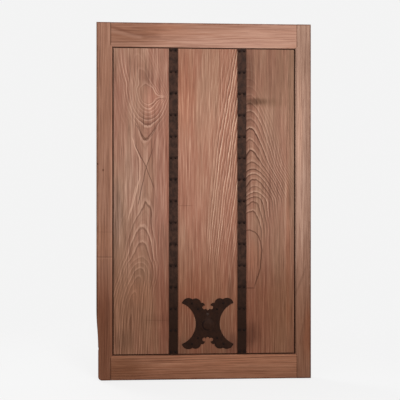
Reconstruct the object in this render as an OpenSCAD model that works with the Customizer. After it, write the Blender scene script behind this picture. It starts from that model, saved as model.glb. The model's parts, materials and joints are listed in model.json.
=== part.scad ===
// Sliding storehouse door leaf: a tenoned stile-and-rail frame holds three wide boards, two nailed iron
// straps cover the board joints, and an X-shaped lock plate carries a swinging keyhole cover.
// +X runs along the sill, -Y is the front, +Z is up. The origin lies on the sill's running line.

/* [Leaf] */
// Width of the leaf
leaf_w = 1060; // [940:1:1180]
// Height of the leaf
leaf_h = 1757; // [1600:1:1900]
// Thickness of the frame
frame_t = 42; // [40:0.5:50]

/* [Frame] */
// Width of a stile, from its outer edge to the panel
stile_w = 80; // [70:1:100]
// Height of a rail, from its outer edge to the panel
rail_h = 122; // [105:1:140]
// Width of the chamfer around the panel
chamfer_w = 10; // [6:0.5:14]
// Depth of the chamfer around the panel
chamfer_d = 5; // [3:0.5:7]
// Small bevel along the frame's outer edges
edge_bevel = 1.5; // [0.5:0.1:3]
// Depth of the groove that holds the panel
groove_d = 10; // [8:0.5:14]
// Thickness of the rail tenons
tenon_t = 14; // [10:0.5:18]
// Set-in of the rail tenons from the rail's edges
tenon_setin = 20; // [16:1:28]
// Thickness of a tenon wedge at its outer end
wedge_t = 5; // [3:0.5:7]
// Length of a tenon wedge
wedge_l = 48; // [30:1:58]

/* [Wear on the left stile] */
// How far the outer edge is worn back at the foot
wear_d = 9; // [2:0.5:14]
// Height at which the wear begins
wear_top = 360; // [300:5:500]
// Height below which the wear is full
wear_full = 150; // [100:5:220]
// Radius of the worn bottom corner
worn_corner_r = 20; // [8:1:30]
// Height of the small chip in the worn edge
chip_z = 156; // [60:1:220]
// Height of that chip along the edge
chip_h = 14; // [6:1:24]
// Depth of that chip
chip_d = 5; // [2:0.5:8]

/* [Panel] */
// Thickness of the boards
board_t = 18; // [16:0.5:22]
// Thickness of the tongue around the panel, and of the lap between boards
tongue_t = 9; // [7:0.5:11]
// Width of the open line between the boards and the frame
quirk_w = 4; // [2:0.5:6]
// Distance from the leaf's middle to the left board joint
left_joint = 152.5; // [120:0.5:180]
// Distance from the leaf's middle to the right board joint
right_joint = 185.7; // [160:0.1:210]
// Width of the lap where two boards meet
lap_w = 8; // [5:0.5:9]
// Gap left for the boards to swell
swell_gap = 0.5; // [0.2:0.1:0.9]

/* [Back battens] */
// Height of a batten
batten_h = 45; // [36:1:60]
// Thickness of a batten's tenon
batten_tenon_t = 10; // [6:0.5:12]
// Height of a batten's tenon
batten_tenon_h = 30; // [20:1:34]
// Length of a batten's tenon
batten_tenon_l = 25; // [15:1:40]

/* [Straps] */
// Width of a strap
strap_w = 45; // [40:0.5:56]
// Thickness of a strap
strap_t = 4; // [3:0.1:5]
// Bevel along a strap's edges
strap_bevel = 1.2; // [0.5:0.1:2]
// Distance from the panel's end to the nearest row of nails
nail_margin = 14; // [10:0.5:24]
// Distance between the two nails of a row
nail_spread = 24; // [22:0.5:28]
// Diameter of a nail's head
nail_head_d = 10.5; // [8:0.1:13]
// Height of a nail's head
nail_head_h = 4; // [2:0.1:5]
// Diameter of a nail's shank
nail_d = 3.2; // [2.4:0.1:4]
// Length of a nail in the board
board_bite = 13; // [8:0.5:15]
// Length of a nail in a batten
batten_bite = 14; // [8:0.5:16]

/* [Lock plate] */
// Width of the plate from tip to tip
plate_w = 255; // [220:1:275]
// Height of the plate over its lobes
plate_h = 252; // [220:1:280]
// Width of the plate's waist
waist_w = 118; // [104:1:136]
// Thickness of the plate
plate_t = 3; // [2:0.1:4]
// Height of the plate's centre above the leaf's underside
plate_z = 275; // [260:1:300]
// Width of the keyhole
keyhole_w = 12; // [9:0.5:16]
// Height of the keyhole
keyhole_h = 34; // [26:1:40]

/* [Keyhole cover] */
// Diameter of the cover
cover_d = 66; // [56:1:72]
// Thickness of the cover's rim
cover_t = 2; // [1.5:0.1:3]
// Height of the cover's dome
dome_h = 6; // [3:0.5:8]
// Width of the flat rim around the dome
rim_w = 3.5; // [2:0.5:6]
// Distance from the pivot to the cover's centre
cover_reach = 54; // [48:0.5:58]
// Distance from the plate's centre down to the keyhole's centre
keyhole_drop = 6; // [0:0.5:10]
// Diameter of the eye around the pivot
eye_d = 22; // [18:0.5:26]
// Diameter of the pivot rivet
rivet_d = 6; // [4:0.5:8]
// Diameter of the rivet's head
rivet_head_d = 13; // [10:0.5:16]
// Height of the rivet's head
rivet_head_h = 3.5; // [2:0.1:5]

/* [Drop bolt] */
// Width of the bolt
bolt_w = 30; // [24:1:38]
// Thickness of the bolt
bolt_t = 14; // [11:0.5:15]
// Travel of the bolt
bolt_travel = 30; // [20:1:40]
// Width of the bolt's head
bolt_head_w = 46; // [42:1:60]
// Height of the bolt's head
bolt_head_h = 24; // [16:1:32]
// Bevel at the bolt's foot
bolt_bevel = 4; // [2:0.5:8]
// Depth of the pocket that the key catches
pocket_d = 8; // [5:0.5:9]
// Height that the foot stays above the leaf's underside when raised
bolt_foot = 3; // [1:0.5:8]
// Thickness of the keepers
keeper_t = 3; // [2:0.1:4]
// Height of a keeper
keeper_h = 25; // [18:1:32]
// Width of a keeper's foot
keeper_foot = 18; // [16:0.5:24]
// Gap between the bottom rail and the lower keeper
keeper_rise = 45; // [20:1:60]
// Diameter of a keeper nail's head
keeper_nail_d = 9; // [7:0.1:11]

/* [Rollers] */
// Diameter of a roller
roller_d = 45; // [36:0.5:54]
// Width of a roller
roller_w = 15; // [10:0.5:18]
// How far a roller stands out below the leaf
roller_proud = 4; // [2:0.5:8]
// Distance from the leaf's edge to a roller's axle
roller_inset = 150; // [130:1:220]
// Diameter of an axle
axle_d = 6; // [5:0.1:8]
// Wood left in front of a blind axle hole
axle_cheek = 7; // [4:0.5:8]

/* [Clearances] */
// Around a nail or rivet in its hole
nail_gap = 0.1; // [0.05:0.05:0.3]
// Around an axle in the rail
axle_gap = 0.05; // [0.02:0.01:0.1]
// Between a turning piece and its pin
running_gap = 0.06; // [0.02:0.01:0.1]
// Between the cover and the plate
cover_gap = 0.3; // [0.2:0.1:0.8]
// Around the sliding bolt
bolt_gap = 0.4; // [0.3:0.1:0.8]
// Beside a roller in its mortise
roller_gap = 0.8; // [0.5:0.1:0.9]
// Above and around a roller in its mortise
roller_room = 3; // [2:0.5:6]
// Between the ends of the straps and the frame
strap_gap = 0.5; // [0.3:0.1:0.9]

/* [Hidden] */
$fn = 48;

// Cuts run past the faces that they open by this much
over = 1;

// Levels through the thickness, front to back
front_y = -frame_t / 2;
back_y = frame_t / 2;
panel_y = front_y + chamfer_d;
panel_back_y = panel_y + board_t;
tongue_y = panel_back_y - tongue_t;
strap_y = panel_y - strap_t;
plate_y = panel_y - plate_t;
cover_y = plate_y - cover_gap;
cover_face_y = cover_y - cover_t;

// The panel opening, measured on the leaf
panel_x = leaf_w / 2 - stile_w;
panel_z0 = rail_h;
panel_z1 = leaf_h - rail_h;
panel_h = panel_z1 - panel_z0;
shoulder_x = panel_x + chamfer_w;

// Straps stand over the board joints, each fixed by rows of two nails
left_strap_x = -left_joint;
right_strap_x = right_joint;
nail_rows = 15;
function row_z(row) = panel_z0 + nail_margin + row * (panel_h - 2 * nail_margin) / (nail_rows - 1);

// Battens stand behind every second row of nails, evenly about the middle
batten_rows = [for (step = [-2:2]) (nail_rows - 1) / 2 + 2 * step];
batten_t = back_y - panel_back_y;
function has_batten(row) = len(search(row, batten_rows)) > 0;
function shank_l(row) = strap_t + (has_batten(row) ? board_t + batten_bite : board_bite);
nail_tip = 1.5 * nail_d;

// The lock plate stands in the middle of the middle board
plate_x = (right_joint - left_joint) / 2;
keyhole_z = plate_z - keyhole_drop;
pivot_z = keyhole_z + cover_reach;

// Lobes of one quarter of the plate: across, up and radius, as shares of its half width and half height
plate_lobes = [[0.745, 0.730, 0.270], [0.470, 0.770, 0.214], [0.220, 0.698, 0.111]];
// Scallops of the notch between two arms, in the same shares
notch_scallops = [[0, 0.595, 0.071], [0.133, 0.627, 0.075]];
arm_top = 0.770;
notch_top = 0.620;
arm_root = 0.220;
tip_height = 0.798;
// Nails at the arms' ends and roots, in the same shares
plate_nails = [[0.612, 0.794], [0.370, 0.563]];

// The bolt slides behind the middle board, stopped by the lowest batten above and by its head below
bolt_y = panel_back_y + bolt_gap;
bolt_top = row_z(batten_rows[0]) - batten_h / 2 - swell_gap;
head_z = bolt_top - bolt_head_h;
upper_keeper_z = head_z - bolt_travel - bolt_gap - keeper_h / 2;
lower_keeper_z = panel_z0 + keeper_rise + keeper_h / 2;
keeper_x = bolt_w / 2 + bolt_gap + keeper_t + keeper_foot / 2;
keeper_nail_h = keeper_nail_d / 4;

// Rollers
axle_x = leaf_w / 2 - roller_inset;
axle_z = roller_d / 2 - roller_proud;
axle_front_y = front_y + axle_cheek;
tread_bevel = roller_w / 8;
hub_d = 3 * axle_d;
web_recess = roller_w / 6;
felloe_w = roller_d / 8;

wood = [0.60, 0.43, 0.34];
dark_wood = [0.48, 0.33, 0.25];
iron = [0.19, 0.13, 0.10];
worn_iron = [0.30, 0.25, 0.22];

// Moves what is measured from the leaf's underside up to stand on the sill
module on_sill() {
    translate([0, 0, roller_proud]) children();
}

// Extrudes an outline in X and Z through the thickness, from y0 back to y1
module slab(y0, y1) {
    translate([0, y1, 0]) rotate([90, 0, 0]) linear_extrude(y1 - y0) children();
}

// Extrudes a section in X and Y upwards, from z0 to z1
module along_z(z0, z1) {
    translate([0, 0, z0]) linear_extrude(z1 - z0) children();
}

// Extrudes a section in Z and Y sideways, from x0 to x1
module along_x(x0, x1) {
    translate([x0, 0, 0]) rotate([90, 0, 90]) linear_extrude(x1 - x0) mirror([1, -1]) children();
}

module block(x0, x1, y0, y1, z0, z1) {
    translate([x0, y0, z0]) cube([x1 - x0, y1 - y0, z1 - z0]);
}

module flip_x() {
    mirror([1, 0, 0]) children();
}

// Turns a bottom piece of the leaf into the matching top piece
module to_top() {
    translate([0, 0, leaf_h]) mirror([0, 0, 1]) children();
}

// A hole or pin along Y
module rod_y(d, y0, y1) {
    translate([0, y1, 0]) rotate([90, 0, 0]) cylinder(d = d, h = y1 - y0);
}

// Half section of a shallow spherical cap that stands on the plane below it
module cap_section(d, h) {
    cap_r = (d * d / 4 + h * h) / (2 * h);
    intersection() {
        translate([0, h - cap_r]) circle(r = cap_r);
        square([d / 2, h]);
    }
}

// A domed pin: the head stands on the XY plane and the shank points down to a blunt tip
module nail(length, head_d, head_h, shank_d) {
    shank_r = shank_d / 2;
    root = head_h / 2;
    tip_z = nail_tip - length;
    rotate_extrude() cap_section(head_d, head_h);
    rotate_extrude()
        polygon([[0, root], [shank_r, root], [shank_r, tip_z], [shank_r / 4, -length], [0, -length]]);
}

// The hole that such a shank is driven into
module nail_hole(length, shank_d) {
    depth = length + nail_gap;
    translate([0, 0, -depth]) cylinder(d = shank_d + 2 * nail_gap, h = depth + over);
}

// Stands children on the front face at x, y and z, so that they look forwards
module facing_front(x, y, z) {
    translate([x, y, z]) rotate([90, 0, 0]) children();
}

module facing_back(x, y, z) {
    translate([x, y, z]) rotate([-90, 0, 0]) children();
}

// Frame

// Right stile from the front: its inner edge steps back to the shoulder in a mitre at each rail
module stile_outline() {
    polygon([
        [shoulder_x, 0], [leaf_w / 2, 0], [leaf_w / 2, leaf_h], [shoulder_x, leaf_h],
        [shoulder_x, panel_z1 + chamfer_w], [panel_x, panel_z1],
        [panel_x, panel_z0], [shoulder_x, panel_z0 - chamfer_w]
    ]);
}

// Bottom rail from the front, mitred to the stiles' chamfers
module rail_outline() {
    polygon([
        [-shoulder_x, 0], [shoulder_x, 0], [shoulder_x, panel_z0 - chamfer_w],
        [panel_x, panel_z0], [-panel_x, panel_z0], [-shoulder_x, panel_z0 - chamfer_w]
    ]);
}

// Section that cuts the chamfer at a panel edge, across and deep, where the piece lies towards -X
module chamfer_section() {
    polygon([[-chamfer_w, 0], [0, chamfer_d], [over, chamfer_d], [over, -over], [-chamfer_w, -over]]);
}

// Sections that bevel a piece's outer edges, front and back, where the piece lies towards +X
module edge_sections() {
    for (face = [0, 1])
        mirror([0, face])
            polygon([
                [-over, front_y - over], [edge_bevel, front_y - over], [edge_bevel, front_y],
                [0, front_y + edge_bevel], [-over, front_y + edge_bevel]
            ]);
}

tenon_low = tenon_setin;
tenon_high = rail_h - tenon_setin;

// Right-hand end of a through tenon's mortise, flared at the outside for the wedges
module mortise_outline() {
    outer = leaf_w / 2;
    flare_low = tenon_low - wedge_t;
    flare_high = tenon_high + wedge_t;
    polygon([
        [shoulder_x - over, tenon_low], [outer - wedge_l, tenon_low], [outer, flare_low],
        [outer + over, flare_low], [outer + over, flare_high], [outer, flare_high],
        [outer - wedge_l, tenon_high], [shoulder_x - over, tenon_high]
    ]);
}

module wedge_outlines() {
    outer = leaf_w / 2;
    polygon([[outer - wedge_l, tenon_high], [outer, tenon_high], [outer, tenon_high + wedge_t]]);
    polygon([[outer - wedge_l, tenon_low], [outer, tenon_low - wedge_t], [outer, tenon_low]]);
}

// What is worn away from the leaf's left foot: a strip that fades out upwards in two tangent arcs, the
// bottom corner, and a small chip in the front of the edge
module foot_wear() {
    outer = -leaf_w / 2;
    worn = outer + wear_d;
    middle_z = (wear_full + wear_top) / 2;
    rise = wear_top - middle_z;
    fade_r = (rise * rise + wear_d * wear_d / 4) / wear_d;
    slab(front_y - over, back_y + over) {
        translate([outer - over, -over]) square([wear_d + over, wear_full + over]);
        intersection() {
            translate([outer - over, wear_full]) square([wear_d + over, rise]);
            translate([worn - fade_r, wear_full]) circle(r = fade_r);
        }
        difference() {
            translate([outer - over, middle_z]) square([wear_d + over, rise]);
            translate([outer + fade_r, wear_top]) circle(r = fade_r);
        }
        difference() {
            translate([worn - over, -over]) square(worn_corner_r + over);
            translate([worn + worn_corner_r, worn_corner_r]) circle(r = worn_corner_r);
        }
    }
    slab(front_y - over, -tenon_t / 2)
        polygon([
            [outer - over, chip_z - chip_h / 2], [worn, chip_z - chip_h / 2],
            [worn + chip_d, chip_z + chip_h / 4],
            [worn, chip_z + chip_h / 2], [outer - over, chip_z + chip_h / 2]
        ]);
}

module stile() {
    difference() {
        slab(front_y, back_y) stile_outline();
        along_z(-over, leaf_h + over) translate([panel_x, front_y]) mirror([1, 0]) chamfer_section();
        along_z(-over, leaf_h + over) translate([leaf_w / 2, 0]) mirror([1, 0]) edge_sections();
        block(
            panel_x - over, panel_x + groove_d, tongue_y, panel_back_y,
            panel_z0 - groove_d, panel_z1 + groove_d
        );
        slab(-tenon_t / 2, tenon_t / 2) mortise_outline();
        to_top() slab(-tenon_t / 2, tenon_t / 2) mortise_outline();
        for (row = batten_rows) translate([0, 0, row_z(row)]) batten_tenon(batten_tenon_l + swell_gap);
    }
}

module rail() {
    difference() {
        union() {
            slab(front_y, back_y) rail_outline();
            slab(-tenon_t / 2, tenon_t / 2)
                translate([-leaf_w / 2, tenon_low]) square([leaf_w, tenon_high - tenon_low]);
        }
        along_x(-leaf_w, leaf_w) translate([panel_z0, front_y]) chamfer_section();
        along_x(-leaf_w, leaf_w) edge_sections();
        block(-leaf_w, leaf_w, tongue_y, panel_back_y, panel_z0 - groove_d, panel_z0 + over);
    }
}

module left_stile() {
    color(wood) on_sill() difference() {
        flip_x() stile();
        foot_wear();
    }
}

module right_stile() {
    color(wood) on_sill() stile();
}

module top_rail() {
    color(wood) on_sill() to_top() rail();
}

module bottom_rail() {
    color(wood) on_sill() difference() {
        rail();
        foot_wear();
        bolt_mortise();
        roller_mortise(-axle_x);
        roller_mortise(axle_x);
    }
}

module tenon_wedges() {
    color(dark_wood) on_sill() difference() {
        slab(-tenon_t / 2, tenon_t / 2)
            for (side = [0, 1])
                mirror([side, 0]) {
                    wedge_outlines();
                    translate([0, leaf_h]) mirror([0, 1]) wedge_outlines();
                }
        foot_wear();
    }
}

// Panel

// One board, rebated all round: its thinner back makes the tongues in the groove and the laps at the joints
module board(front_x0, front_x1, rear_x0, rear_x1) {
    low_z = panel_z0 - groove_d;
    high_z = panel_z1 + groove_d - swell_gap;
    difference() {
        along_z(low_z, high_z)
            polygon([
                [front_x0, panel_y], [front_x1, panel_y], [front_x1, tongue_y], [rear_x1, tongue_y],
                [rear_x1, panel_back_y], [rear_x0, panel_back_y], [rear_x0, tongue_y], [front_x0, tongue_y]
            ]);
        for (rebate = [[low_z - over, panel_z0 + quirk_w], [panel_z1 - quirk_w, high_z + over]])
            block(front_x0 - over, front_x1 + over, panel_y - over, tongue_y, rebate[0], rebate[1]);
    }
}

quirk_x = panel_x - quirk_w;
tongue_x = panel_x + groove_d - swell_gap;

module left_board() {
    color(wood) on_sill() difference() {
        board(-quirk_x, left_strap_x, -tongue_x, left_strap_x + lap_w);
        strap_nail_holes(left_strap_x, [-1]);
    }
}

module middle_board() {
    color(wood) on_sill() difference() {
        board(
            left_strap_x + swell_gap, right_strap_x, left_strap_x + lap_w + swell_gap, right_strap_x + lap_w
        );
        strap_nail_holes(left_strap_x, [1]);
        strap_nail_holes(right_strap_x, [-1]);
        plate_holes(board_t);
        at_keeper_nails() nail_hole(keeper_t + board_bite, nail_d);
    }
}

module right_board() {
    color(wood) on_sill() difference() {
        board(right_strap_x + swell_gap, quirk_x, right_strap_x + lap_w + swell_gap, tongue_x);
        strap_nail_holes(right_strap_x, [1]);
    }
}

// A batten's right-hand tenon, or its mortise
module batten_tenon(length) {
    middle_y = (panel_back_y + back_y) / 2;
    block(
        panel_x - over, panel_x + length, middle_y - batten_tenon_t / 2, middle_y + batten_tenon_t / 2,
        -batten_tenon_h / 2, batten_tenon_h / 2
    );
}

module batten_section() {
    half = batten_h / 2;
    polygon([
        [-half, panel_back_y], [half, panel_back_y], [half, back_y - edge_bevel],
        [half - edge_bevel, back_y], [edge_bevel - half, back_y], [-half, back_y - edge_bevel]
    ]);
}

module batten(number) {
    row = batten_rows[number - 1];
    color(dark_wood) on_sill() difference() {
        translate([0, 0, row_z(row)]) {
            along_x(-panel_x, panel_x) batten_section();
            batten_tenon(batten_tenon_l);
            flip_x() batten_tenon(batten_tenon_l);
        }
        for (strap_x = [left_strap_x, right_strap_x])
            at_nail_row(strap_x, row, [-1, 1]) nail_hole(shank_l(row), nail_d);
    }
}

// Straps

// Stands children at the nails of one row, on the given sides of the strap's middle
module at_nail_row(strap_x, row, sides) {
    for (side = sides) facing_front(strap_x + side * nail_spread / 2, strap_y, row_z(row)) children();
}

module strap_nail_holes(strap_x, sides) {
    for (row = [0 : nail_rows - 1])
        at_nail_row(strap_x, row, sides) nail_hole(shank_l(row), nail_d);
}

module strap(strap_x) {
    half = strap_w / 2;
    color(iron) on_sill() difference() {
        along_z(panel_z0 + strap_gap, panel_z1 - strap_gap)
            translate([strap_x, 0])
                polygon([
                    [-half, panel_y], [half, panel_y], [half, strap_y + strap_bevel],
                    [half - strap_bevel, strap_y], [strap_bevel - half, strap_y],
                    [-half, strap_y + strap_bevel]
                ]);
        strap_nail_holes(strap_x, [-1, 1]);
    }
}

module strap_nails(strap_x) {
    color(worn_iron) on_sill()
        for (row = [0 : nail_rows - 1])
            at_nail_row(strap_x, row, [-1, 1]) nail(shank_l(row), nail_head_d, nail_head_h, nail_d);
}

// Lock plate

function on_plate(share) = [share[0] * plate_w / 2, share[1] * plate_h / 2];

module at_plate_quarters() {
    for (side = [0, 1])
        for (end = [0, 1])
            mirror([side, 0]) mirror([0, end]) children();
}

// The X-shaped outline: lobed arms, a round scoop at each side and a scalloped notch above and below
module plate_outline() {
    half_waist = waist_w / 2;
    scoop_in = plate_w / 2 - half_waist;
    tip_z = tip_height * plate_h / 2;
    scoop_r = (scoop_in * scoop_in + tip_z * tip_z) / (2 * scoop_in);
    arm = on_plate([1, arm_top]);
    root = on_plate([arm_root, notch_top]);
    difference() {
        union() {
            polygon([
                [-arm[0], -arm[1]], [-root[0], -arm[1]], [-root[0], -root[1]],
                [root[0], -root[1]], [root[0], -arm[1]], [arm[0], -arm[1]],
                [arm[0], arm[1]], [root[0], arm[1]], [root[0], root[1]],
                [-root[0], root[1]], [-root[0], arm[1]], [-arm[0], arm[1]]
            ]);
            at_plate_quarters()
                for (lobe = plate_lobes) translate(on_plate(lobe)) circle(r = lobe[2] * plate_h / 2);
        }
        at_plate_quarters() {
            translate([half_waist + scoop_r, 0]) circle(r = scoop_r);
            for (scallop = notch_scallops)
                translate(on_plate(scallop)) circle(r = scallop[2] * plate_h / 2);
        }
    }
}

module keyhole_outline(grow) {
    width = keyhole_w + 2 * grow;
    run = keyhole_h - keyhole_w;
    square([width, run], center = true);
    for (end = [-1, 1]) translate([0, end * run / 2]) circle(d = width);
}

module at_plate_nails() {
    for (share = plate_nails)
        for (side = [-1, 1])
            for (end = [-1, 1])
                facing_front(
                    plate_x + side * on_plate(share)[0], plate_y, plate_z + end * on_plate(share)[1]
                ) children();
}

// Holes through the plate, and as deep as needed into a board of the given thickness
module plate_holes(depth) {
    slab(plate_y - over, panel_y + depth + over) translate([plate_x, keyhole_z]) keyhole_outline(0);
    at_plate_nails() nail_hole(plate_t + board_bite, nail_d);
    facing_front(plate_x, cover_face_y - cover_gap, pivot_z) nail_hole(rivet_l, rivet_d);
}

module lock_plate() {
    color(iron) on_sill() difference() {
        slab(plate_y, panel_y) translate([plate_x, plate_z]) plate_outline();
        plate_holes(0);
    }
}

module lock_plate_nails() {
    color(worn_iron) on_sill()
        at_plate_nails() nail(plate_t + board_bite, nail_head_d, nail_head_h, nail_d);
}

// Keyhole cover: a domed disc that hangs by a tapering neck from an eye
module keyhole_cover() {
    color(iron) on_sill() difference() {
        union() {
            slab(cover_face_y, cover_y) {
                translate([plate_x, keyhole_z]) circle(d = cover_d);
                translate([plate_x, pivot_z]) circle(d = eye_d);
                translate([plate_x, 0])
                    polygon([
                        [-cover_d / 3, keyhole_z], [cover_d / 3, keyhole_z],
                        [eye_d / 2, pivot_z], [-eye_d / 2, pivot_z]
                    ]);
            }
            facing_front(plate_x, cover_face_y, keyhole_z)
                rotate_extrude() cap_section(cover_d - 2 * rim_w, dome_h);
        }
        translate([plate_x, 0, pivot_z])
            rod_y(rivet_d + 2 * running_gap, cover_face_y - over, cover_y + over);
    }
}

rivet_l = cover_gap + cover_t + cover_gap + plate_t + board_bite;

module cover_rivet() {
    color(worn_iron) on_sill()
        facing_front(plate_x, cover_face_y - cover_gap, pivot_z)
            nail(rivet_l, rivet_head_d, rivet_head_h, rivet_d);
}

// Drop bolt

module bolt_mortise() {
    half = bolt_w / 2 + bolt_gap;
    block(
        plate_x - half, plate_x + half, bolt_y - bolt_gap, bolt_y + bolt_t + bolt_gap, -over, panel_z0 + over
    );
}

module bolt_outline() {
    half = bolt_w / 2;
    half_head = bolt_head_w / 2;
    polygon([
        [bolt_bevel - half, bolt_foot], [half - bolt_bevel, bolt_foot], [half, bolt_foot + bolt_bevel],
        [half, head_z], [half_head, head_z], [half_head, bolt_top],
        [-half_head, bolt_top], [-half_head, head_z], [-half, head_z], [-half, bolt_foot + bolt_bevel]
    ]);
}

module drop_bolt() {
    color(dark_wood) on_sill() difference() {
        slab(bolt_y, bolt_y + bolt_t) translate([plate_x, 0]) bolt_outline();
        slab(bolt_y - over, bolt_y + pocket_d) translate([plate_x, keyhole_z]) keyhole_outline(over);
    }
}

// A keeper: flat iron bent over the bolt, with a foot on each side
module keeper(z) {
    inner = bolt_w / 2 + bolt_gap;
    outer = inner + keeper_t;
    toe = outer + keeper_foot;
    foot_y = panel_back_y + keeper_t;
    roof_y = bolt_y + bolt_t + bolt_gap;
    color(iron) on_sill() difference() {
        along_z(z - keeper_h / 2, z + keeper_h / 2)
            translate([plate_x, 0])
                polygon([
                    [-toe, panel_back_y], [-inner, panel_back_y], [-inner, roof_y], [inner, roof_y],
                    [inner, panel_back_y], [toe, panel_back_y], [toe, foot_y], [outer, foot_y],
                    [outer, roof_y + keeper_t], [-outer, roof_y + keeper_t], [-outer, foot_y], [-toe, foot_y]
                ]);
        at_keeper_nails() nail_hole(keeper_t + board_bite, nail_d);
    }
}

module at_keeper_nails() {
    for (z = [lower_keeper_z, upper_keeper_z])
        for (side = [-1, 1])
            facing_back(plate_x + side * keeper_x, panel_back_y + keeper_t, z) children();
}

module upper_keeper() {
    keeper(upper_keeper_z);
}

module lower_keeper() {
    keeper(lower_keeper_z);
}

module keeper_nails() {
    color(worn_iron) on_sill()
        at_keeper_nails() nail(keeper_t + board_bite, keeper_nail_d, keeper_nail_h, nail_d);
}

// Rollers

module roller_mortise(x) {
    half_l = roller_d / 2 + roller_room;
    half_w = roller_w / 2 + roller_gap;
    block(x - half_l, x + half_l, -half_w, half_w, -over, axle_z + half_l);
    translate([x, 0, axle_z]) rod_y(axle_d + 2 * axle_gap, axle_front_y, back_y + over);
}

// A turned wheel with a raised hub and rim on both sides
module roller(x) {
    bore_r = axle_d / 2 + running_gap;
    half_w = roller_w / 2;
    web = half_w - web_recess;
    rim_r = roller_d / 2 - felloe_w;
    tread_r = roller_d / 2;
    color(iron) on_sill() translate([x, 0, axle_z]) rotate([90, 0, 0]) rotate_extrude()
        polygon([
            [bore_r, -half_w], [hub_d / 2, -half_w], [hub_d / 2, -web], [rim_r, -web], [rim_r, -half_w],
            [tread_r - tread_bevel, -half_w], [tread_r, tread_bevel - half_w],
            [tread_r, half_w - tread_bevel], [tread_r - tread_bevel, half_w],
            [rim_r, half_w], [rim_r, web], [hub_d / 2, web], [hub_d / 2, half_w], [bore_r, half_w]
        ]);
}

module axle(x) {
    color(worn_iron) on_sill() translate([x, 0, axle_z]) rod_y(axle_d, axle_front_y, back_y - edge_bevel);
}

left_stile();
right_stile();
top_rail();
bottom_rail();
left_board();
middle_board();
right_board();
batten(1);  // batten_1
batten(2);  // batten_2
batten(3);  // batten_3
batten(4);  // batten_4
batten(5);  // batten_5
tenon_wedges();
strap(left_strap_x);  // left_strap
strap(right_strap_x);  // right_strap
strap_nails(left_strap_x);  // left_strap_nails
strap_nails(right_strap_x);  // right_strap_nails
lock_plate();
lock_plate_nails();
keyhole_cover();
cover_rivet();
drop_bolt();
upper_keeper();
lower_keeper();
keeper_nails();
roller(-axle_x);  // left_roller
roller(axle_x);  // right_roller
axle(-axle_x);  // left_axle
axle(axle_x);  // right_axle
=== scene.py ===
import json
from math import cos, radians, sin
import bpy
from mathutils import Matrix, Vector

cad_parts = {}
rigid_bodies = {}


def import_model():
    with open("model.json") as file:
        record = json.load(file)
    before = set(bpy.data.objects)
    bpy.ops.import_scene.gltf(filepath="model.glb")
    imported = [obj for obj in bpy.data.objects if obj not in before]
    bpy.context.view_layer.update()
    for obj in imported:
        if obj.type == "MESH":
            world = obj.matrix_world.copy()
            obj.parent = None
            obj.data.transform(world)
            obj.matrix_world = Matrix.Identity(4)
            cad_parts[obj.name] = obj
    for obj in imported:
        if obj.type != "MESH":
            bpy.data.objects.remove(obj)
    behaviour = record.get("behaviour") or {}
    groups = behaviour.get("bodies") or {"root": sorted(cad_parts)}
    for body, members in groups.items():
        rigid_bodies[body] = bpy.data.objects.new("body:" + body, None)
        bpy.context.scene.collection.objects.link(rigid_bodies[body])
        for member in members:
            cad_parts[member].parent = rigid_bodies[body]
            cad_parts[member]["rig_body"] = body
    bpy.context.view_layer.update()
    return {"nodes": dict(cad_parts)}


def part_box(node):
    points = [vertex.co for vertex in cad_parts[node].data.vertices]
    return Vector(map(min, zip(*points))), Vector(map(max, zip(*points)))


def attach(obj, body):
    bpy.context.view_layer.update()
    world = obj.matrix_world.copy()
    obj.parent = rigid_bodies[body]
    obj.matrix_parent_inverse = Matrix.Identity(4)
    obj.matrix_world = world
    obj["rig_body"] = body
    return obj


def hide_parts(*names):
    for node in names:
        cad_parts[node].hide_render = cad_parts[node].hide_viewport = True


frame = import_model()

from types import SimpleNamespace

import bmesh
import bpy
import numpy as np
from mathutils import Matrix, Vector

scene = bpy.context.scene
scene.view_settings.view_transform = "Standard"
nodes = frame["nodes"]
print("frame loaded:", len(nodes), "nodes")


# camera at the photo's viewing angle
view = {"place": (-0.164, -3.2, 0.883), "yaw": 2.56, "pitch": 0.096, "lens": 58.08}
yaw, pitch = radians(view["yaw"]), radians(view["pitch"])
ahead = Vector((sin(yaw) * cos(pitch), cos(yaw) * cos(pitch), sin(pitch)))
side = Vector((cos(yaw), -sin(yaw), 0))
turned = Matrix((side, side.cross(ahead), -ahead)).transposed().to_4x4()
camera = bpy.data.objects.new("camera", bpy.data.cameras.new("camera"))
camera.matrix_world = Matrix.Translation(view["place"]) @ turned
camera.data.lens = view["lens"]
scene.collection.objects.link(camera)
scene.camera = camera


# screen colour, 0 to 255, to the linear one that sockets take
def tint(r, g, b):
    c = np.array([r, g, b]) / 255
    return (*np.where(c <= 0.04045, c / 12.92, ((c + 0.055) / 1.055) ** 2.4).tolist(), 1.0)


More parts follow.
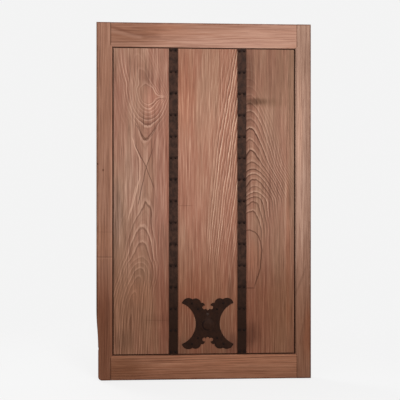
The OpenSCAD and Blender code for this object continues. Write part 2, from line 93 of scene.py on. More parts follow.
# a node material and the small tools that wire it
def newFinish(name, specular):
    finish = bpy.data.materials.new(name)
    finish.use_nodes = True
    tree = finish.node_tree
    shader = tree.nodes["Principled BSDF"]
    shader.inputs["Specular IOR Level"].default_value = specular
    shader.inputs["Roughness"].default_value = 0.7  # until a noise is fed to it

    def put(kind, **settings):
        made = tree.nodes.new("ShaderNode" + kind)
        for key, value in settings.items():
            setattr(made, key, value)
        return made

    def feed(socket, value):
        if isinstance(value, bpy.types.NodeSocket):
            tree.links.new(value, socket)
        else:
            socket.default_value = value

    def calc(operation, *values):
        made = put("Math", operation=operation)
        for socket, value in zip(made.inputs, values):
            feed(socket, value)
        return made.outputs[0]

    def times(product, *others):
        for other in others:
            product = calc("MULTIPLY", product, other)
        return product

    def far(across, along):  # root of the sum of two squares
        return calc("SQRT", calc("MULTIPLY_ADD", across, across, times(along, along)))

    def sway(value, span):  # a noise from 0 to 1 made to swing about 0
        return calc("MULTIPLY_ADD", value, span, -span / 2)

    def step(value, low, high, start=0.0, end=1.0, kind="SMOOTHSTEP"):  # start at low, end at high
        made = put("MapRange", interpolation_type=kind)
        for socket, level in zip(made.inputs, (value, low, high, start, end)):
            feed(socket, level)
        return made.outputs[0]

    def curve(value, marks):  # a line through marks, both ways from 0 to 1
        made = put("FloatCurve")
        points = made.mapping.curves[0].points
        points[0].location, points[1].location = marks[0], marks[-1]
        for mark in marks[1:-1]:
            points.new(*mark)
        for point in points:
            point.handle_type = "AUTO_CLAMPED"
        made.mapping.update()
        feed(made.inputs["Value"], value)
        return made.outputs[0]

    def mix(share, first, second, blend="MIX"):
        made = put("Mix", data_type="RGBA", blend_type=blend)
        for index, value in ((0, share), (6, first), (7, second)):
            feed(made.inputs[index], value)
        return made.outputs[2]

    place = put("TexCoord").outputs["Object"]
    split = put("SeparateXYZ")
    feed(split.inputs[0], place)

    def noise(stretch, detail=2.0, rough=0.5, start=(0.0, 0.0, 0.0)):  # swings a metre in x, y and z
        mapping = put("Mapping")
        feed(mapping.inputs["Vector"], place)
        mapping.inputs["Location"].default_value = start
        mapping.inputs["Scale"].default_value = stretch
        made = put("TexNoise")
        feed(made.inputs["Vector"], mapping.outputs[0])
        for key, value in (("Scale", 1.0), ("Detail", detail), ("Roughness", rough)):
            made.inputs[key].default_value = value
        return made.outputs[0]

    def bump(height, distance, strength):
        made = put("Bump")
        made.inputs["Distance"].default_value = distance
        made.inputs["Strength"].default_value = strength
        feed(made.inputs["Height"], height)
        feed(shader.inputs["Normal"], made.outputs[0])

    x, y, z = split.outputs
    return SimpleNamespace(
        finish=finish, shader=shader, put=put, feed=feed, calc=calc, times=times, far=far, sway=sway,
        step=step, curve=curve, mix=mix, noise=noise, bump=bump, x=x, y=y, z=z)


# world: the camera and mirrors see a pale backdrop, everything else a soft sky
backdrop = {"seen": 0.900, "light": 0.44}
world = bpy.data.worlds.new("studio")
scene.world = world
world.use_nodes = True
tree = world.node_tree
path = tree.nodes.new("ShaderNodeLightPath")
mirrored, seen = tree.nodes.new("ShaderNodeMath"), tree.nodes.new("ShaderNodeMath")
mirrored.operation, seen.operation, seen.use_clamp = "ADD", "ADD", True
level = tree.nodes.new("ShaderNodeMapRange")
level.inputs["To Min"].default_value = backdrop["light"]
level.inputs["To Max"].default_value = backdrop["seen"]
background = tree.nodes["Background"]
background.inputs["Color"].default_value = (1.0, 1.0, 1.0, 1.0)
for output, socket in (
        (path.outputs["Is Glossy Ray"], mirrored.inputs[0]),
        (path.outputs["Is Transmission Ray"], mirrored.inputs[1]),
        (path.outputs["Is Camera Ray"], seen.inputs[0]),
        (mirrored.outputs[0], seen.inputs[1]),
        (seen.outputs[0], level.inputs["Value"]),
        (level.outputs[0], background.inputs["Strength"])):
    tree.links.new(output, socket)

# lamps: a large soft key from the upper right front, a weak fill from the left and one for the back
lamps = {
    "key": {"place": (1.0, -3.3, 2.1), "aim": (0.0, 0.0, 0.95), "size": 1.4, "power": 94},
    "fill": {"place": (-2.4, -2.6, 1.6), "aim": (0.0, 0.0, 1.0), "size": 2.0, "power": 16},
    "rear": {"place": (-3.2, 2.6, 2.6), "aim": (0.0, 0.0, 0.9), "size": 2.0, "power": 110},
}
for name, lamp in lamps.items():
    light = bpy.data.lights.new(name, "AREA")
    light.shape, light.size, light.energy = "DISK", lamp["size"], lamp["power"]
    holder = bpy.data.objects.new(name, light)
    holder.location = lamp["place"]
    toward = Vector(lamp["aim"]) - Vector(lamp["place"])
    holder.rotation_euler = toward.to_track_quat("-Z", "Y").to_euler()
    scene.collection.objects.link(holder)
print("camera, world and lamps set")


def putMesh(name, points, faces, sharp=40):
    mesh = bpy.data.meshes.new(name)
    mesh.from_pydata(np.asarray(points).reshape(-1, 3).tolist(), [], faces)
    mesh.polygons.foreach_set("use_smooth", np.ones(len(mesh.polygons), bool))
    mesh.set_sharp_from_angle(angle=radians(sharp))
    piece = bpy.data.objects.new(name, mesh)
    scene.collection.objects.link(piece)
    return piece


# quads of a grid of rows by columns, closed round its columns
def gridFaces(rows, columns):
    row = np.arange(rows - 1)[:, None] * columns
    here = np.arange(columns)[None, :]
    after = (here + 1) % columns
    corners = [row + here, row + after, row + columns + after, row + columns + here]
    return np.stack(corners, axis=-1).reshape(-1, 4)


def standIn(piece, node, finish):
    piece.data.materials.clear()
    piece.data.materials.append(finish)
    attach(piece, nodes[node]["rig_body"])
    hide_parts(node)


def plainName(node):
    first, *rest = node.split("_")
    return first + "".join(word.title() for word in rest)


# floor: a disc of rings and spokes that fades into the pale backdrop
floor = {"radius": 5.0, "rings": 12, "spokes": 64, "emit": 0.80, "grey": 0.12, "fade": (0.7, 1.9)}
reach = np.linspace(0.0, floor["radius"], floor["rings"] + 1)[1:, None]
turn = np.linspace(0, 2 * np.pi, floor["spokes"], endpoint=False)[None, :]
ground = np.stack([reach * np.cos(turn), reach * np.sin(turn), 0 * reach * turn], axis=-1)
tiles = gridFaces(floor["rings"], floor["spokes"]).tolist() + [list(range(floor["spokes"]))]
disc = putMesh("floor", ground, tiles)
kit = newFinish("paleFloor", 0.0)
glow, matt, clear = kit.put("Emission"), kit.put("BsdfDiffuse"), kit.put("BsdfTransparent")
both, fade, sight = kit.put("AddShader"), kit.put("MixShader"), kit.put("LightPath")
matt.inputs["Color"].default_value = (floor["grey"],) * 3 + (1.0,)
lit = kit.calc("ADD", sight.outputs["Is Camera Ray"], sight.outputs["Is Glossy Ray"])
kit.feed(glow.inputs["Strength"], kit.times(lit, floor["emit"]))
kit.feed(both.inputs[0], glow.outputs[0])
kit.feed(both.inputs[1], matt.outputs[0])
kit.feed(fade.inputs[0], kit.step(kit.far(kit.x, kit.y), *floor["fade"]))
kit.feed(fade.inputs[1], both.outputs[0])
kit.feed(fade.inputs[2], clear.outputs[0])
kit.feed(kit.finish.node_tree.nodes["Material Output"].inputs["Surface"], fade.outputs[0])
disc.data.materials.append(kit.finish)
print("floor laid")


# distances in x and z: from a point, from a spot in its half sizes, and from a line through points
def pointAway(kit, x, z, spot):
    return kit.far(kit.calc("SUBTRACT", x, spot[0]), kit.calc("SUBTRACT", z, spot[1]))


def spotAway(kit, x, z, wide, tall):
    sideways = kit.calc("MULTIPLY_ADD", kit.x, 1 / wide, -x / wide)
    return kit.far(sideways, kit.calc("MULTIPLY_ADD", kit.z, 1 / tall, -z / tall))


def lineAway(kit, x, z, spots):
    nearest = 1.0
    for start, end in zip(spots, spots[1:]):
        alongX, alongZ = end[0] - start[0], end[1] - start[1]
        square = alongX ** 2 + alongZ ** 2
        fromX, fromZ = kit.calc("SUBTRACT", x, start[0]), kit.calc("SUBTRACT", z, start[1])
        share = kit.calc("MULTIPLY_ADD", fromX, alongX / square, kit.times(fromZ, alongZ / square))
        share = kit.calc("MINIMUM", kit.calc("MAXIMUM", share, 0.0), 1.0)
        fromX = kit.calc("MULTIPLY_ADD", share, -alongX, fromX)
        fromZ = kit.calc("MULTIPLY_ADD", share, -alongZ, fromZ)
        nearest = kit.calc("MINIMUM", kit.far(fromX, fromZ), nearest)
    return nearest


# noises of all wood: swings a metre along the piece and across it, detail, roughness and start
woodNoises = {
    "fibre": (9.0, 430.0, 4.0, 0.65, (0.0, 0.0, 0.0)),
    "grain": (5.0, 190.0, 3.0, 0.60, (0.4, 2.1, 1.9)),
    "streak": (2.2, 80.0, 4.0, 0.60, (1.3, 0.2, 0.7)),
    "cloud": (1.3, 8.0, 4.0, 0.55, (3.1, 1.7, 0.4)),
    "pore": (45.0, 1500.0, 2.0, 0.50, (0.0, 0.0, 0.0)),
    "ragged": (7.0, 26.0, 3.0, 0.60, (0.0, 0.0, 0.0)),
}
# how those noises are read: two levels each, with what they reach, and how much they weigh in the relief
woodLevels = {
    "cloud": (0.34, 0.66), "lighter": (0.51, 0.70), "darker": (0.49, 0.30), "fibre": (0.60, 0.30),
    "pore": (0.64, 0.78), "poreShare": 0.35, "rough": (0.2, 0.8, 0.62, 0.80),
    "fibreRelief": 0.55, "poreRelief": 0.5, "relief": (0.0007, 0.7),
}
# lines of all wood, as parts of a ring from 0 to 1, with the least strength of late lines and ridges;
# lateWidth is in metres
woodLines = {
    "uneven": 0.9, "lateEnd": 0.92, "lateOut": (1.0, 0.96), "lateWidth": 0.0088, "lateShare": (0.07, 0.38),
    # ridgeEnd, ridgeLeast and ridgeShift shape the ridges' painted highlight
    "ridgeEnd": 0.08, "hairs": 3.3, "hairEdge": (0.30, 0.48), "hairShare": 0.20,
    "picked": (0.1, 0.9), "lateLeast": 0.5, "ridgeLeast": 0.4, "ridgeShift": 50.5,
}
# stains of all wood: the front they lie on, how blots fade and fray, and marks' core, faded ends and wander
stainEdge = {
    "front": (-0.004, -0.010), "blot": (1.15, 0.25), "fray": 0.9,
    "core": 0.15, "end": (0.0, 0.030), "wander": 0.016,
    "noise": ((9.0, 9.0, 9.0), 2.0, 0.5, (6.0, 0.0, 0.0)),
}


# each ring ends in a thin late line with a pale ridge after it, both of uneven strength, and has hair
# lines;
# the pale ridge is a painted highlight where the raised ridge would catch the light
def ringLines(kit, look, ring, dark, pale, lateFrom):
    uneven = kit.put("TexNoise", noise_dimensions="1D")
    kit.feed(uneven.inputs["W"], ring)
    uneven.inputs["Scale"].default_value = woodLines["uneven"]
    ring = kit.calc("ADD", ring, kit.sway(uneven.outputs[0], look["uneven"]))
    part = kit.calc("FRACT", ring)

    def strength(shift, least):  # one for each ring
        pick = kit.put("TexWhiteNoise", noise_dimensions="1D")
        kit.feed(pick.inputs["W"], kit.calc("FLOOR", kit.calc("ADD", ring, shift)))
        return kit.step(pick.outputs[0], *woodLines["picked"], least)

    rising = kit.step(part, lateFrom, woodLines["lateEnd"])
    falling = kit.step(part, *woodLines["lateOut"])
    late = kit.times(rising, falling, strength(0.0, woodLines["lateLeast"]), dark)
    # pale ridge: a painted highlight just after each late line
    ridgeHighlight = kit.step(part, kit.calc("SUBTRACT", 1.0, lateFrom), woodLines["ridgeEnd"])
    ridgeHighlight = kit.times(ridgeHighlight, strength(woodLines["ridgeShift"], woodLines["ridgeLeast"]), pale)
    hair = kit.calc("PINGPONG", kit.times(ring, woodLines["hairs"]), 0.5)
    return late, ridgeHighlight, kit.times(kit.step(hair, *woodLines["hairEdge"]), dark)


# blots are soft stains, some of them painted shade: x, z, half width, half height, colour and share; marks
# are lines in one of the look's tones: width, share and the points they run through
def stainedAndShaded(kit, look, colour, ragged):
    front = kit.step(kit.y, *stainEdge["front"])
    for x, z, wide, tall, shade, share in look["blots"]:
        away = kit.calc("ADD", spotAway(kit, x, z, wide, tall), kit.sway(ragged, stainEdge["fray"]))
        shown = kit.times(front, kit.step(away, *stainEdge["blot"], 0.0, share))
        colour = kit.mix(shown, colour, (*shade, 1.0), "MULTIPLY")
    wandered = kit.calc("ADD", kit.x, kit.sway(kit.noise(*stainEdge["noise"]), stainEdge["wander"]))
    for tone, wide, share, spots in look["marks"]:
        shown = kit.step(lineAway(kit, wandered, kit.z, spots), wide, stainEdge["core"] * wide, 0.0, share)
        for spot in (spots[0], spots[-1]):
            shown = kit.times(shown, kit.step(pointAway(kit, wandered, kit.z, spot), *stainEdge["end"]))
        colour = kit.mix(kit.times(front, shown), colour, look[tone])
    # the look's stain list holds stains together with painted light and shade
    for share, shade in look["stain"](kit, front):
        colour = kit.mix(share, colour, shade, "MULTIPLY")
    return colour


# wood from a ring field, crossed by streaks, grain, fibres and pores along the piece, and stained
def woodFinish(name, look, field):
    kit = newFinish(name, look["specular"])
    ring, dark, pale, along, lateFrom = field(kit)
    late, ridgeHighlight, hair = ringLines(kit, look, ring, dark, pale, lateFrom)

    def noise(name):
        length, across, *rest = woodNoises[name]
        return kit.noise([length if axis == along else across for axis in "xyz"], *rest)

    fibre, cloud = noise("fibre"), noise("cloud")
    pore = kit.step(noise("pore"), *woodLevels["pore"])
    colour = kit.mix(kit.step(cloud, *woodLevels["cloud"]), look["tone"], look["other"])
    # lay the ridges' painted highlight into the colour
    colour = kit.mix(kit.times(ridgeHighlight, look["pale"]), colour, look["light"])
    for key in ("streak", "grain"):
        swing = noise(key)
        colour = kit.mix(kit.step(swing, *woodLevels["lighter"], 0.0, look[key]), colour, look["light"])
        colour = kit.mix(kit.step(swing, *woodLevels["darker"], 0.0, look[key]), colour, look["dark"])
    darkened = (
        kit.times(late, look["line"]), kit.times(hair, woodLines["hairShare"]),
        kit.step(fibre, *woodLevels["fibre"], 0.0, look["fibre"]), kit.times(pore, woodLevels["poreShare"]))
    for share in darkened:
        colour = kit.mix(share, colour, look["dark"])
    kit.feed(kit.shader.inputs["Base Color"], stainedAndShaded(kit, look, colour, noise("ragged")))
    kit.feed(kit.shader.inputs["Roughness"], kit.step(cloud, *woodLevels["rough"]))
    relief = kit.calc("SUBTRACT", kit.times(fibre, woodLevels["fibreRelief"]), late)
    relief = kit.calc("SUBTRACT", relief, kit.times(pore, woodLevels["poreRelief"]))
    kit.bump(relief, *woodLevels["relief"])
    return kit.finish


# the leaf and its panel, from the frame: half sizes in x and z, the middle's height and the boards' front
stileLow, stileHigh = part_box("left_stile")
topRail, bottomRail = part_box("top_rail"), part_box("bottom_rail")
leaf = {"x": -stileLow.x, "z": (stileHigh.z - stileLow.z) / 2, "middle": (stileHigh.z + stileLow.z) / 2}
panel = {"x": -stileHigh.x, "z": (topRail[0].z - bottomRail[1].z) / 2, "front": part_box("left_board")[0].y}

# noises of the two flat sawn boards: how their lines wander and ripple, and where they fade in patches
flatSawn = {
    "wander": (7.0, 7.0, 2.2), "ripple": (60.0, 60.0, 14.0), "patches": (9.0, 9.0, 1.6),
    "patchStart": (0.3, 0.0, 2.0), "patchEdge": (0.25, 0.65, 0.55, 1.0),
}


# along the middle line x0(z) of a flat sawn figure: rings cut, N(z), the distance from that line, and how
# many rings there are to a metre
def figureLine(kit, figure):
    rings = figure["rings"]
    low, high = rings[0][0], rings[-1][0]
    up = kit.step(kit.z, low, high, kind="LINEAR")

    def traced(marks):
        values = [value for _, value in marks]
        base, span = min(values), max(values) - min(values)
        line = kit.curve(up, [((z - low) / (high - low), (value - base) / span) for z, value in marks])
        return kit.calc("MULTIPLY_ADD", line, span, base)

    wander = kit.sway(kit.noise(flatSawn["wander"], start=figure["start"]), figure["wander"])
    off = kit.calc("ADD", kit.calc("SUBTRACT", kit.x, traced(figure["middle"])), wander)
    depth = kit.times(kit.calc("SUBTRACT", kit.y, panel["front"]), figure["depth"])
    slopes = np.abs(np.gradient([count for _, count in rings], [z for z, _ in rings]))
    dense = traced([(z, float(slope)) for (z, _), slope in zip(rings, slopes)])
    return kit.calc("ADD", traced(rings), depth), off, dense


# where a ring's late line starts, so that it has one width however far apart the rings lie
def lateStart(kit, upward, sideward):
    least, most = woodLines["lateShare"]
    share = kit.times(kit.far(upward, sideward), woodLines["lateWidth"])
    share = kit.calc("MINIMUM", kit.calc("MAXIMUM", share, least), most)
    return kit.calc("SUBTRACT", woodLines["lateEnd"], share)


def rippled(kit, ring, amount):
    return kit.calc("ADD", ring, kit.sway(kit.noise(flatSawn["ripple"]), amount))


def patches(kit):
    patchy = kit.noise(flatSawn["patches"], start=flatSawn["patchStart"])
    return kit.step(patchy, *flatSawn["patchEdge"])


# board with an eye: ring number is the root of the squares of N(z) and of the distance over the ring width
# on that side, less e to the minus square of the distance from a spot, where the rings run out to a point
def eyeField(figure):
    def field(kit):
        count, off, dense = figureLine(kit, figure)
        onRight = kit.calc("GREATER_THAN", off, 0.0)
        width = kit.calc("MULTIPLY_ADD", onRight, figure["right"] - figure["left"], figure["left"])
        across = kit.calc("DIVIDE", off, width)
        ring = kit.far(count, across)
        upward = kit.times(dense, kit.calc("DIVIDE", count, ring))
        lateFrom = lateStart(kit, upward, kit.calc("DIVIDE", across, kit.times(ring, width)))
        *spot, pull = figure["bulge"]
        away = spotAway(kit, *spot)
        bulge = kit.times(kit.calc("EXPONENT", kit.times(away, away, -1.0)), pull)
        ring = rippled(kit, kit.calc("SUBTRACT", ring, bulge), figure["ripple"])
        inside = kit.step(ring, *figure["plain"], 1.0, 0.0)
        inside = kit.times(inside, kit.step(kit.z, *figure["plainAbove"]))
        above = kit.calc("MAXIMUM", kit.calc("SUBTRACT", kit.z, figure["level"]), 0.0)
        fades = kit.step(kit.calc("ADD", off, above), *figure["fades"])
        shown = kit.times(patches(kit), kit.calc("SUBTRACT", 1.0, inside), fades)
        shown = kit.times(shown, kit.step(ring, *figure["outer"]))
        aside = kit.step(kit.calc("ABSOLUTE", off), *figure["side"])
        dark = kit.times(shown, aside, kit.step(ring, *figure["dark"]))
        return ring, dark, shown, "z", lateFrom
    return field


# board with arches: ring number is N(z) plus a hyperbola of the distance, so that arches have straight legs
def archField(figure):
    def field(kit):
        count, off, dense = figureLine(kit, figure)
        leg = kit.far(off, figure["crown"])
        lateFrom = lateStart(kit, dense, kit.calc("DIVIDE", off, kit.times(leg, figure["width"])))
        leg = kit.calc("DIVIDE", kit.calc("SUBTRACT", leg, figure["crown"]), figure["width"])
        ring = rippled(kit, kit.calc("ADD", count, leg), figure["ripple"])
        fromLevel = kit.calc("ABSOLUTE", kit.calc("SUBTRACT", kit.z, figure["level"]))
        aside = kit.calc("MULTIPLY_ADD", fromLevel, figure["taper"], off)
        shown = patches(kit)
        for value, key in ((ring, "plain"), (aside, "fades"), (kit.z, "faint"), (kit.z, "foot")):
            shown = kit.times(shown, kit.step(value, *figure[key]))
        return ring, shown, shown, "z", lateFrom
    return field


# quarter sawn board: rings are straight lines up the board that lean over on its right-hand part
def leaningField(figure):
    def field(kit):
        lean = kit.times(kit.step(kit.x, *figure["from"]), figure["slope"])
        wander = kit.sway(kit.noise(figure["wanders"]), figure["wander"])
        shift = kit.calc("MULTIPLY_ADD", kit.calc("SUBTRACT", kit.z, figure["level"]), lean, wander)
        leant = kit.calc("SUBTRACT", kit.x, shift)
        ring = kit.calc("MULTIPLY_ADD", kit.y, figure["depth"], kit.calc("DIVIDE", leant, figure["width"]))
        ring = kit.calc("MULTIPLY_ADD", kit.noise(figure["ripples"]), figure["ripple"], ring)
        patchy = kit.step(kit.noise(figure["patches"]), *figure["patchEdge"])
        bold = kit.times(kit.step(leant, *figure["bold"]), kit.step(kit.z, *figure["foot"]))
        faint, most = figure["lines"]
        shown = kit.times(patchy, kit.calc("MULTIPLY_ADD", bold, most - faint, faint))
        return ring, shown, shown, "z", figure["lateFrom"]
    return field


# straight grained piece: rings are lines along the piece that wander slowly
straight = {
    "wander": 0.07, "wanders": (0.9, 5.0), "patches": (1.5, 20.0), "patchEdge": (0.35, 0.65, 0.15, 0.9),
    "depth": 70.0, "lateFrom": 0.58,
}


def straightField(along, width, start):
    def stretched(swings):
        return [swings[0] if axis == along else swings[1] for axis in "xyz"]

    def field(kit):
        across = kit.x if along == "z" else kit.z
        wander = kit.sway(kit.noise(stretched(straight["wanders"]), start=start), straight["wander"])
        ring = kit.calc("DIVIDE", kit.calc("ADD", across, wander), width)
        ring = kit.calc("ADD", ring, kit.times(kit.y, straight["depth"]))
        patchy = kit.noise(stretched(straight["patches"]), start=start)
        shown = kit.step(patchy, *straight["patchEdge"])
        return ring, shown, shown, along, straight["lateFrom"]
    return field


# distances past the panel's edge, in metres: its band of painted shade and dirt, the quirk beside it, which
# holds painted shade and dirt too, and the chamfer on the frame
panelEdge = {
    "x": {"dirt": (-0.0050, -0.0022), "quirk": (0.0048, 0.0016), "chamfer": (0.0110, 0.0090)},
    "z": {"dirt": (-0.0035, -0.0013), "quirk": (0.0031, 0.0010), "chamfer": (0.0110, 0.0090)},
}
strapBoxes = [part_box(node) for node in ("left_strap", "right_strap")]


def pastPanel(kit):
    sideways = kit.calc("ABSOLUTE", kit.x)
    upwards = kit.calc("ABSOLUTE", kit.calc("SUBTRACT", kit.z, leaf["middle"]))
    return {axis: kit.calc("SUBTRACT", off, panel[axis]) for axis, off in (("x", sideways), ("z", upwards))}


# the door is darker and redder towards its foot, rust stains and painted shade lie on the wood beside the
# straps, and the panel's outer edge holds painted shade and dirt
boardDirtAndShade = {
    "foot": (0.88, 0.34), "footShade": (0.68, 0.56, 0.48, 1.0), "rust": (0.009, 0.0, 0.0, 0.6),
    "rustAndShadeTone": (0.62, 0.56, 0.52, 1.0), "edge": 0.92, "edgeShade": (0.14, 0.085, 0.060, 1.0),
}


def boardStainAndShade(kit, front):
    beside = 1.0
    for low, high in strapBoxes:
        fromStrap = kit.calc("ABSOLUTE", kit.calc("SUBTRACT", kit.x, (low.x + high.x) / 2))
        beside = kit.calc("MINIMUM", kit.calc("SUBTRACT", fromStrap, (high.x - low.x) / 2), beside)
    shadedEdges = [kit.step(past, *panelEdge[axis]["dirt"]) for axis, past in pastPanel(kit).items()]
    edge = kit.calc("MAXIMUM", *shadedEdges)
    return [
        (kit.step(kit.z, *boardDirtAndShade["foot"]), boardDirtAndShade["footShade"]),
        # beside the straps: rust stain with painted shade along the strap edges
        (kit.times(front, kit.step(beside, *boardDirtAndShade["rust"])), boardDirtAndShade["rustAndShadeTone"]),
        # the panel's outer edge: painted shade and dirt
        (kit.times(edge, front, boardDirtAndShade["edge"]), boardDirtAndShade["edgeShade"]),
    ]


# outer edges are darker and redder, the panel chamfers get painted light and shade, lighter where they face
# up or right and darker where they face down or left, and the joints hold dirt
frameDirtAndShade = {
    "rim": (0.010, 0.0), "rimFray": 0.012, "rimNoise": ((25.0, 25.0, 25.0), 3.0, 0.6),
    "rimSide": (-0.013, -0.019, 0.30, 0.75), "rimShade": tint(150, 118, 105),
    "foot": (0.82, 0.24), "footShade": (0.64, 0.52, 0.44, 1.0),
    # painted light on the chamfers: levels on the left and right stiles, then on the bottom and top rails
    "litX": (-0.2, 0.2, 1.20, 0.84), "litZ": (0.7, 1.0, 1.12, 0.99),
    "joint": 0.010, "jointEdge": (0.0035, 0.0010, 0.0, 0.85), "jointFrom": (0.0095, 0.0115),
    "jointShade": (0.45, 0.40, 0.36, 1.0),
    # the quirk's near-black band is painted shade together with dirt
    "quirk": 0.92, "quirkShade": (0.12, 0.070, 0.050, 1.0),
}


def frameStainAndShade(along):
    def stain(kit, front):
        past = pastPanel(kit)
        inward = [kit.calc("SUBTRACT", leaf[axis] - panel[axis], past[axis]) for axis in "xz"]
        fray = kit.sway(kit.noise(*frameDirtAndShade["rimNoise"]), frameDirtAndShade["rimFray"])
        edge = kit.calc("ADD", kit.calc("MINIMUM", *inward), fray)
        rim = kit.step(edge, *frameDirtAndShade["rim"], 0.0, kit.step(kit.y, *frameDirtAndShade["rimSide"]))
        axis = "x" if along == "z" else "z"
        chamfer, quirk = (kit.step(past[axis], *panelEdge[axis][key]) for key in ("chamfer", "quirk"))
        # painted light and shade on the chamfer, set by which way it faces
        lit = kit.step(kit.x, *frameDirtAndShade["litX"]) if along == "z" else kit.step(kit.z, *frameDirtAndShade["litZ"])
        chamferLight = kit.put("CombineXYZ")
        for socket in chamferLight.inputs:
            kit.feed(socket, lit)
        fromJoint = kit.calc("ABSOLUTE", kit.calc("SUBTRACT", past["x"], frameDirtAndShade["joint"]))
        joint = kit.step(fromJoint, *frameDirtAndShade["jointEdge"])
        joint = kit.times(joint, kit.step(past["z"], *frameDirtAndShade["jointFrom"]))
        return [
            (rim, frameDirtAndShade["rimShade"]), (kit.step(kit.z, *frameDirtAndShade["foot"]), frameDirtAndShade["footShade"]),
            (kit.times(chamfer, front), chamferLight.outputs[0]), (joint, frameDirtAndShade["jointShade"]),
            # painted shade and dirt in the quirk
            (kit.times(quirk, front, frameDirtAndShade["quirk"]), frameDirtAndShade["quirkShade"]),
        ]
    return stain


def noStain(kit, front):
    return []


# in each look, pale is the strength of the painted highlight on the ring ridges
plainWood = {"fibre": 0.30, "uneven": 0.9, "specular": 0.12, "blots": [], "marks": [], "stain": noStain}
boardWood = {**plainWood, "uneven": 0.0, "stain": boardStainAndShade}
leftBoard = {
    **boardWood, "pale": 0.74, "line": 0.80, "streak": 0.40, "grain": 0.48,
    "tone": tint(155, 106, 88), "other": tint(161, 124, 102),
    "light": tint(212, 170, 147), "dark": tint(78, 45, 33),
    "blots": [
        (-0.272, 1.490, 0.040, 0.060, (0.74, 0.72, 0.72), 0.6),
        (-0.395, 0.200, 0.070, 0.060, (0.72, 0.72, 0.72), 0.6),
        (-0.250, 0.300, 0.100, 0.035, (0.80, 0.78, 0.76), 0.5),
        (-0.444, 0.680, 0.014, 0.300, (0.70, 0.68, 0.66), 0.6),
        (-0.170, 1.050, 0.035, 0.400, (0.96, 0.80, 0.74), 0.6),
        (-0.345, 1.020, 0.070, 0.240, (1.06, 1.10, 1.14), 0.8),
        (-0.425, 1.250, 0.040, 0.450, (0.92, 0.91, 0.90), 0.8),
        # the darker top of the board is a painted shadow under the top rail
        (-0.300, 1.500, 0.240, 0.260, (0.93, 0.92, 0.91), 0.9),
        (-0.256, 1.372, 0.062, 0.085, (1.28, 1.28, 1.28), 0.9),
        (-0.428, 0.820, 0.026, 0.230, (0.68, 0.68, 0.70), 0.9),
        (-0.335, 0.600, 0.045, 0.065, (1.14, 1.14, 1.14), 0.8),
        (-0.310, 0.440, 0.080, 0.090, (1.13, 1.09, 1.07), 0.8),
    ],
    "marks": [
        ("dark", 0.0030, 0.80,
         [(-0.350, 1.185), (-0.316, 1.105), (-0.288, 1.050), (-0.262, 0.985), (-0.246, 0.935)]),
        ("dark", 0.0030, 0.80,
         [(-0.252, 1.150), (-0.272, 1.095), (-0.288, 1.050), (-0.302, 0.980), (-0.330, 0.850)]),
        ("dark", 0.0028, 0.60,
         [(-0.345, 1.275), (-0.312, 1.215), (-0.286, 1.180), (-0.258, 1.208), (-0.225, 1.260)]),
        ("light", 0.0042, 0.60, [(-0.358, 1.205), (-0.318, 1.090), (-0.318, 1.000), (-0.366, 0.810)]),
        ("light", 0.0034, 0.50, [(-0.333, 0.970), (-0.378, 0.775)]),
        ("dark", 0.0030, 0.30, [(-0.295, 0.297), (-0.165, 0.296)]),
        ("light", 0.0042, 0.42,
         [(-0.276, 1.462), (-0.254, 1.440), (-0.242, 1.414), (-0.226, 1.402), (-0.182, 1.399)]),
        ("light", 0.0038, 0.35,
         [(-0.284, 1.352), (-0.256, 1.366), (-0.240, 1.386), (-0.222, 1.394), (-0.184, 1.396)]),
        ("dark", 0.0030, 0.45,
         [(-0.284, 1.346), (-0.252, 1.360), (-0.236, 1.380), (-0.218, 1.388), (-0.180, 1.388)]),
    ],
    "figure": {  # rings as height and number, middle as height and x
        "rings": [(0.116, 0.2), (0.222, 0.5), (0.333, 1.0), (0.392, 1.4), (0.437, 2.0), (0.515, 3.0),
                  (0.553, 4.0), (0.580, 5.0), (0.608, 6.0), (0.683, 7.0), (0.758, 8.0), (0.879, 9.0),
                  (0.960, 9.35), (1.049, 9.45), (1.120, 9.35), (1.181, 9.0), (1.255, 8.0), (1.283, 7.0),
                  (1.301, 6.0), (1.323, 5.0), (1.339, 4.0), (1.360, 3.0), (1.385, 1.2), (1.411, 0.3),
                  (1.435, 1.2), (1.459, 3.0), (1.535, 4.0), (1.602, 5.0), (1.649, 5.6)],
        "middle": [(0.116, -0.372), (0.333, -0.357), (0.438, -0.342), (0.551, -0.316), (0.683, -0.308),
                   (0.758, -0.305), (0.879, -0.283), (1.049, -0.288), (1.181, -0.289), (1.256, -0.278),
                   (1.361, -0.276), (1.417, -0.282), (1.501, -0.304), (1.575, -0.324), (1.649, -0.342)],
        "left": 0.0125, "right": 0.0115, "depth": 60.0, "start": (0.0, 0.0, 0.0),
        "wander": 0.016, "ripple": 0.35,
        "plain": (2.3, 2.8), "plainAbove": (1.05, 1.15), "bulge": (-0.222, 1.397, 0.035, 0.016, 2.4),
        "level": 1.41, "fades": (0.130, 0.050, 0.30, 1.0), "outer": (10.4, 8.8, 0.30, 1.0),
        "dark": (5.5, 8.0, 0.30, 0.95), "side": (0.080, 0.020, 0.30, 1.0),
    },
}
